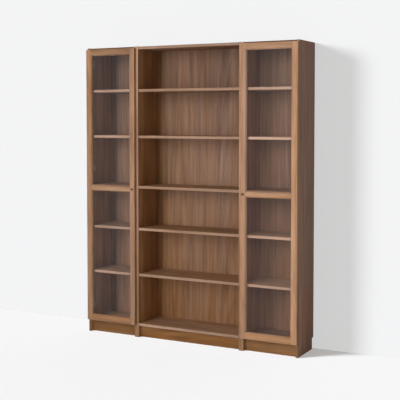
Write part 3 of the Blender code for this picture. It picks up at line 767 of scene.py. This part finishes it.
# How light the walnut of some boards is, against the rest. The plinths are darker with painted shade under
# the overhang, the end units' tops darker with painted shade on their front edges above the doors, and the
# left unit's left side lighter with painted light on its inner face behind the glass
boardTonesAndShade = {"left_unit_plinth": (0.56, 0.48, 0.34), "centre_unit_plinth": (0.63, 0.53, 0.36),
              "right_unit_plinth": (0.72, 0.64, 0.47), "centre_unit_bottom": (1.13, 1.18, 1.22),
              "left_unit_top": 0.70, "centre_unit_top": 0.80, "right_unit_top": 0.74,
              "left_unit_side_l": (1.14, 1.20, 1.40)}
# Front strips darkened with painted shade, where the doors shade them
stripShadeTones = {"left_unit_side_l": (0.60, 0.50, 0.40), "left_unit_top": (0.50, 0.44, 0.38),
              "right_unit_top": (0.50, 0.44, 0.38)}
# The adjustable shelves behind glass and their front strips, lightened with painted light
glazedShelfLit = {"tone": (1.26, 1.38, 1.62), "strip": 1.22}
# Tones that drift along a board: the axis, and the tones at shares of its height or its depth. They are
# painted light and shade: the backs darker at the head under the top board and with tints that change with
# height, the centre's left inner face lit near the front and shaded further in, the right cabinet's left side
# darker upward, and the outer right side darker towards the rear
driftShadeTones = {
    "left_unit_back": ("Z", [(0.0, (1.09, 1.03, 0.98)), (0.6, (1.14, 1.16, 1.22)),
                             (0.95, (0.90, 0.93, 1.05))]),
    "centre_unit_back": ("Z", [(0.0, (1.02, 0.90, 0.72)), (0.27, (1.10, 1.06, 1.01)),
                               (0.6, (1.11, 1.14, 1.22)), (0.95, (0.85, 0.88, 0.98))]),
    "right_unit_back": ("Z", [(0.0, (0.88, 0.80, 0.74)), (0.65, (0.99, 0.97, 1.01)),
                              (0.95, (0.85, 0.86, 0.91))]),
    "centre_unit_side_l": ("Y", [(0.0, (1.06, 1.01, 0.87)), (0.19, (1.20, 1.13, 0.95)),
                                 (0.29, (0.97, 0.89, 0.71))]),
    "right_unit_side_l": ("Z", [(0.1, (0.95, 0.84, 0.83)), (0.45, (0.82, 0.72, 0.72)),
                                (0.9, (0.74, 0.66, 0.69))]),
    "right_unit_side_r": ("Y", [(0.0, (0.81, 0.78, 0.92)), (1.0, (0.62, 0.55, 0.69))])}
# How far a painted warm shade beside the left side panel reaches across a back, and its tone
backSideShade = {"centre_unit_back": (0.28, (1.0, 0.94, 0.76))}


# The kind of walnut, the order across, through, along, and the other settings of one board's material.
# None for what isn't wood.
def boardLook(name):
    look = {"tone": boardTonesAndShade.get(name, 1.0)}
    if name in driftShadeTones:
        look["drift"], look["tone"] = driftShadeTones[name]
    if name.endswith("_back"):
        return "back", "XYZ", {**look, "leaf": walnut["leaf"], "lean": backSideShade.get(name)}
    if "_side_" in name:
        return "board", "YXZ", {**look, "edged": True, "strip": stripShadeTones.get(name, 1.0), "upright": True}
    if name.endswith("_plinth"):
        return "board", "ZYX", look
    if "_shelf_" in name and "centre" not in name:
        return "board", "YZX", {**glazedShelfLit, "edged": True}
    if name.endswith(("_top", "_bottom")) or "shelf" in name:
        return "board", "YZX", {**look, "edged": True, "strip": stripShadeTones.get(name)}
    return None


def finishNodes():
    for name, thing in nodes.items():
        look = boardLook(name)
        if look:
            kind, order, settings = look
            material = walnutMaterial(name + "_walnut", kind, order, *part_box(name), **settings)
        elif "glass" in name:
            material = glassFinish
        elif "hinge" in name:
            material = steelFinish
        else:
            continue
        for slot in thing.material_slots:
            slot.material = material


finishNodes()
print("finishes set")


# The floor and the wall are this bright near the object and turn white between near and far
stage = {"size": 9.0, "wallGap": 0.006, "white": 0.900, "near": 2.6, "far": 5.0,
         "floorGlow": 0.312, "floorLit": 0.60, "wallGlow": 0.576, "wallLit": 0.106,
         "litTint": (1.0, 1.02, 1.06), "floorBounce": (0.50, 0.50, 0.50)}


# Pale surface that keeps the object's shadow. For the camera it is part light of its own and part
# lit by the lamps, and far from the object it is the background's white. The wall is seen by the
# camera only, from its front.
def paleMaterial(name, own, lit, seenOnlyInFront):
    made, tree, place = newMaterial(name)
    path = addNode(tree, "LightPath").outputs
    distance = addNode(tree, "VectorMath", {0: place}, operation="LENGTH").outputs["Value"]
    fade = remap(tree, distance, stage["near"], stage["far"], kind="SMOOTHSTEP")
    white = addNode(tree, "Emission", {"Color": (1, 1, 1, 1), "Strength": stage["white"]}).outputs[0]
    glow = addNode(tree, "Emission", {"Color": (1, 1, 1, 1), "Strength": own}).outputs[0]
    litColour = (*(lit * part for part in stage["litTint"]), 1.0)
    matt = addNode(tree, "BsdfDiffuse", {"Color": litColour}).outputs[0]
    near = addNode(tree, "AddShader", {0: glow, 1: matt}).outputs[0]
    seen = addNode(tree, "MixShader", {0: fade, 1: near, 2: white}).outputs[0]
    if seenOnlyInFront:
        front = calc(tree, "SUBTRACT", 1.0, addNode(tree, "NewGeometry").outputs["Backfacing"])
        share = calc(tree, "MULTIPLY", path["Is Camera Ray"], front)
        rest = addNode(tree, "BsdfTransparent").outputs[0]
    else:
        mirrored = calc(tree, "MAXIMUM", path["Is Glossy Ray"], path["Is Transmission Ray"])
        share = calc(tree, "MAXIMUM", path["Is Camera Ray"], mirrored)
        rest = addNode(tree, "BsdfDiffuse", {"Color": (*stage["floorBounce"], 1.0)}).outputs[0]
    closeMaterial(tree, addNode(tree, "MixShader", {0: share, 1: rest, 2: seen}).outputs[0])
    return made


def buildStage():
    size, wallY = stage["size"], cadHigh.y + stage["wallGap"]
    corners = np.array([(-size, -size, 0), (size, -size, 0), (size, size, 0), (-size, size, 0)])
    finish = paleMaterial("paleFloor", stage["floorGlow"], stage["floorLit"], False)
    floor = meshObject("floor", corners, [[0, 1, 2, 3]], finish)
    corners = np.array([(-size, wallY, 0), (size, wallY, 0), (size, wallY, size), (-size, wallY, size)])
    finish = paleMaterial("paleWall", stage["wallGlow"], stage["wallLit"], True)
    wall = meshObject("wall", corners, [[0, 1, 2, 3]], finish)
    return floor, wall


# Levels of the light from all round, and where along Y it goes from one level to the next
studio = {"front": 1.00, "side": 0.10, "behind": 0.46, "tint": (1.0, 0.94, 0.82),
          "frontUntil": -0.92, "sideFrom": -0.52, "sideUntil": 0.30, "behindFrom": 0.90}


# The studio round the object: light straight from the front and from behind, and little from the
# sides. The camera, mirrors and glass see plain white there.
def buildWorld():
    world = bpy.data.worlds.new("studio")
    bpy.context.scene.world = world
    world.use_nodes = True
    tree = world.node_tree
    tree.nodes.clear()
    path = addNode(tree, "LightPath").outputs
    mirrored = calc(tree, "MAXIMUM", path["Is Glossy Ray"], path["Is Transmission Ray"])
    seen = calc(tree, "MAXIMUM", path["Is Camera Ray"], mirrored)
    direction = addNode(tree, "TexCoord").outputs["Generated"]
    depth = addNode(tree, "SeparateXYZ", {0: direction}).outputs["Y"]
    front, side = studio["front"], studio["side"]
    ahead = remap(tree, depth, studio["frontUntil"], studio["sideFrom"], front, side, "SMOOTHSTEP")
    extra = studio["behind"] - side
    behind = remap(tree, depth, studio["sideUntil"], studio["behindFrom"], 0.0, extra, "SMOOTHSTEP")
    values = {"Color": (*studio["tint"], 1), "Strength": calc(tree, "ADD", ahead, behind)}
    soft = addNode(tree, "Background", values).outputs[0]
    white = addNode(tree, "Background", {"Color": (1, 1, 1, 1), "Strength": stage["white"]}).outputs[0]
    mixed = addNode(tree, "MixShader", {0: seen, 1: soft, 2: white}).outputs[0]
    addNode(tree, "OutputWorld", {"Surface": mixed})


def addLamp(name, kind, place, towards, power, lights):
    # towards points from the object to the lamp, and the lamp lights only the things named
    light = bpy.data.lights.new(name, kind)
    light.energy = power
    lamp = bpy.data.objects.new(name, light)
    bpy.context.scene.collection.objects.link(lamp)
    lamp.location = place
    lamp.rotation_euler = Vector(towards).to_track_quat("Z", "Y").to_euler()
    receivers = bpy.data.collections.new(name + "_receivers")
    for thing in lights:
        receivers.objects.link(thing)
    lamp.light_linking.receiver_collection = receivers
    return lamp, light


# Flat lamps aim at one point of the bookcase. turn and rise are the low light's direction in degrees
lamps = {"aim": (0.0, 0.0, 1.05),
         "softbox": {"at": (-1.30, -4.1, 1.75), "size": (1.0, 3.3), "power": 66.0,
                     "tint": (0.98, 1.02, 1.09)},
         "key": {"at": (-1.37, -8.6, 2.50), "size": (0.7, 3.6), "power": 124.0, "tint": (0.98, 1.02, 1.09)},
         "cabinetFill": {"at": (1.9, -4.0, 2.1), "size": (2.2, 2.6), "power": 56.0, "tint": (1.0, 1.0, 1.0)},
         "shadowLight": {"turn": 47.0, "rise": 12.0, "spread": 17.0, "power": 12.0, "distance": 6.0}}
# What the fill reaches
glazed = ("right_unit_shelf", "right_unit_back", "right_unit_side_l")


# A tall softbox and a farther lamp, the key, light the object from the front left. A weak fill from
# the front right reaches only the right cabinet's shelves, back and left side. A low light from the
# left reaches only the wall and the floor, where the object's shadow falls.
def buildLamps(floor, wall):
    pieces = [thing for thing in bpy.context.scene.objects
              if thing.type == "MESH" and thing not in (floor, wall)]
    cabinet = [nodes[name] for name in nodes if name.startswith(glazed)]
    for name, lights in (("softbox", pieces), ("key", pieces), ("cabinetFill", cabinet)):
        given = lamps[name]
        place = Vector(given["at"])
        lamp, light = addLamp(name, "AREA", place, place - Vector(lamps["aim"]), given["power"], lights)
        light.shape = "RECTANGLE"
        light.size, light.size_y = given["size"]
        light.color = given["tint"]
        lamp.visible_glossy = False
    given = lamps["shadowLight"]
    turn, rise = math.radians(given["turn"]), math.radians(given["rise"])
    towards = Vector((-math.sin(turn) * math.cos(rise), -math.cos(turn) * math.cos(rise), math.sin(rise)))
    place = towards * given["distance"]
    lamp, light = addLamp("shadowLight", "SUN", place, towards, given["power"], (floor, wall))
    light.angle = math.radians(given["spread"])


# down and turn are the camera's angles in degrees
camera = {"at": (2.8310, -5.3581, 1.5198), "down": 2.6329, "turn": 27.5492,
          "lens": 79.906, "sensor": 36.0, "shift": -0.10, "clip": 60.0}


def buildCamera():
    lens = bpy.data.cameras.new("camera")
    lens.lens = camera["lens"]
    lens.sensor_width = camera["sensor"]
    lens.shift_y = camera["shift"]
    lens.clip_end = camera["clip"]
    eye = bpy.data.objects.new("camera", lens)
    bpy.context.scene.collection.objects.link(eye)
    eye.location = camera["at"]
    eye.rotation_euler = (math.radians(90.0 - camera["down"]), 0.0, math.radians(camera["turn"]))
    bpy.context.scene.camera = eye


floor, wall = buildStage()
buildWorld()
buildLamps(floor, wall)
buildCamera()
bpy.context.scene.view_settings.view_transform = "Standard"
print("stage, light and camera set")
